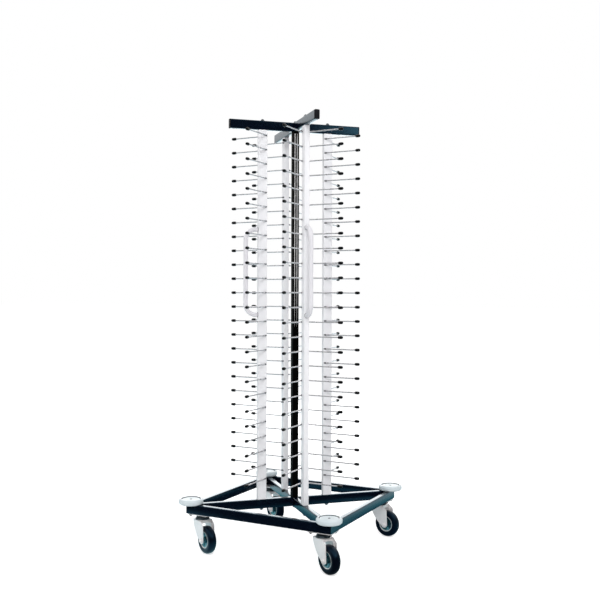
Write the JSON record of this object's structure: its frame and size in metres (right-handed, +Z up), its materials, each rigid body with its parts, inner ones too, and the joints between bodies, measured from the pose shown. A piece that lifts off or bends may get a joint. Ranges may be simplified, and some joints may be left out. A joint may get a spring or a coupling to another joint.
{
  "type": "plate dispenser cart",
  "caption": "Mobile rack that holds plates on paired wire arms round a central mast, on a square tube base with swivel castors, corner bumpers, a top cross and grab handles.",
  "frame": {"origin": "on the floor, under the centre of the base", "axes": "+Z up; X and Y along the base's sides; -Y is the front, on the side of the two handles"},
  "size_m": [0.6717, 0.666, 1.638],
  "materials": {
    "black_paint": "gloss",
    "white_paint": "satin powder coat",
    "pale_grip": "satin",
    "black_plastic": "satin",
    "pale_plastic": "satin",
    "zinc": "zinc plated",
    "bright_steel": "bright",
    "tyre": "satin rubber"
  },
  "bodies": {
    "cart": {"base_tube_front": "black_paint", "base_tube_right": "black_paint", "base_tube_back": "black_paint", "base_tube_left": "black_paint", "base_bar_long": "black_paint", "base_bar_front_right": "black_paint", "base_bar_back_left": "black_paint", "top_bar_long": "black_paint", "top_bar_front_right": "black_paint", "top_bar_back_left": "black_paint", "mast": "black_paint", "mast_bolt_top": "zinc", "mast_bolt_base": "zinc", "rail_front_left": "white_paint", "rail_bolt_top_front_left": "zinc", "rail_bolt_base_front_left": "zinc", "end_cap_front_left": "black_plastic", "handle_front_left": "pale_grip", "bumper_bolt_front_left": "zinc", "castor_plate_front_left": "zinc", "rail_front_right": "white_paint", "rail_bolt_top_front_right": "zinc", "rail_bolt_base_front_right": "zinc", "end_cap_front_right": "black_plastic", "handle_front_right": "pale_grip", "bumper_bolt_front_right": "zinc", "castor_plate_front_right": "zinc", "rail_back_right": "white_paint", "rail_bolt_top_back_right": "zinc", "rail_bolt_base_back_right": "zinc", "end_cap_back_right": "black_plastic", "bumper_bolt_back_right": "zinc", "castor_plate_back_right": "zinc", "rail_back_left": "white_paint", "rail_bolt_top_back_left": "zinc", "rail_bolt_base_back_left": "zinc", "end_cap_back_left": "black_plastic", "bumper_bolt_back_left": "zinc", "castor_plate_back_left": "zinc"},
    "fork_front_left": {"castor_fork_front_left": "zinc", "castor_axle_front_left": "zinc"},
    "wheel_front_left": {"castor_rim_front_left": "bright_steel", "castor_tyre_front_left": "tyre"},
    "bumper_disc_front_left": {"bumper_front_left": "pale_plastic"},
    "fork_front_right": {"castor_fork_front_right": "zinc", "castor_axle_front_right": "zinc"},
    "wheel_front_right": {"castor_rim_front_right": "bright_steel", "castor_tyre_front_right": "tyre"},
    "bumper_disc_front_right": {"bumper_front_right": "pale_plastic"},
    "fork_back_right": {"castor_fork_back_right": "zinc", "castor_axle_back_right": "zinc"},
    "wheel_back_right": {"castor_rim_back_right": "bright_steel", "castor_tyre_back_right": "tyre"},
    "bumper_disc_back_right": {"bumper_back_right": "pale_plastic"},
    "fork_back_left": {"castor_fork_back_left": "zinc", "castor_axle_back_left": "zinc"},
    "wheel_back_left": {"castor_rim_back_left": "bright_steel", "castor_tyre_back_left": "tyre"},
    "bumper_disc_back_left": {"bumper_back_left": "pale_plastic"}
  },
  "joints": [
    {"name": "castor_swivel_front_left", "type": "hinge", "parent": "cart", "child": "fork_front_left", "pos_m": [-0.252, -0.262, 0.13], "axis": [0, 0, 1], "continuous": true},
    {"name": "castor_wheel_front_left", "type": "hinge", "parent": "fork_front_left", "child": "wheel_front_left", "pos_m": [-0.22013, -0.27873, 0.051], "axis": [0.4648, 0.8854, 0], "continuous": true},
    {"name": "bumper_turn_front_left", "type": "hinge", "parent": "cart", "child": "bumper_disc_front_left", "pos_m": [-0.287, -0.287, 0.188], "axis": [0, 0, 1], "continuous": true},
    {"name": "castor_swivel_front_right", "type": "hinge", "parent": "cart", "child": "fork_front_right", "pos_m": [0.252, -0.262, 0.13], "axis": [0, 0, 1], "continuous": true},
    {"name": "castor_wheel_front_right", "type": "hinge", "parent": "fork_front_right", "child": "wheel_front_right", "pos_m": [0.28387, -0.27873, 0.051], "axis": [0.4648, 0.8854, 0], "continuous": true},
    {"name": "bumper_turn_front_right", "type": "hinge", "parent": "cart", "child": "bumper_disc_front_right", "pos_m": [0.287, -0.287, 0.188], "axis": [0, 0, 1], "continuous": true},
    {"name": "castor_swivel_back_right", "type": "hinge", "parent": "cart", "child": "fork_back_right", "pos_m": [0.252, 0.262, 0.13], "axis": [0, 0, 1], "continuous": true},
    {"name": "castor_wheel_back_right", "type": "hinge", "parent": "fork_back_right", "child": "wheel_back_right", "pos_m": [0.28734, 0.25513, 0.051], "axis": [0.1908, 0.9816, 0], "continuous": true},
    {"name": "bumper_turn_back_right", "type": "hinge", "parent": "cart", "child": "bumper_disc_back_right", "pos_m": [0.287, 0.287, 0.188], "axis": [0, 0, 1], "continuous": true},
    {"name": "castor_swivel_back_left", "type": "hinge", "parent": "cart", "child": "fork_back_left", "pos_m": [-0.252, 0.262, 0.13], "axis": [0, 0, 1], "continuous": true},
    {"name": "castor_wheel_back_left", "type": "hinge", "parent": "fork_back_left", "child": "wheel_back_left", "pos_m": [-0.22013, 0.24527, 0.051], "axis": [0.4648, 0.8854, 0], "continuous": true},
    {"name": "bumper_turn_back_left", "type": "hinge", "parent": "cart", "child": "bumper_disc_back_left", "pos_m": [-0.287, 0.287, 0.188], "axis": [0, 0, 1], "continuous": true}
  ]
}
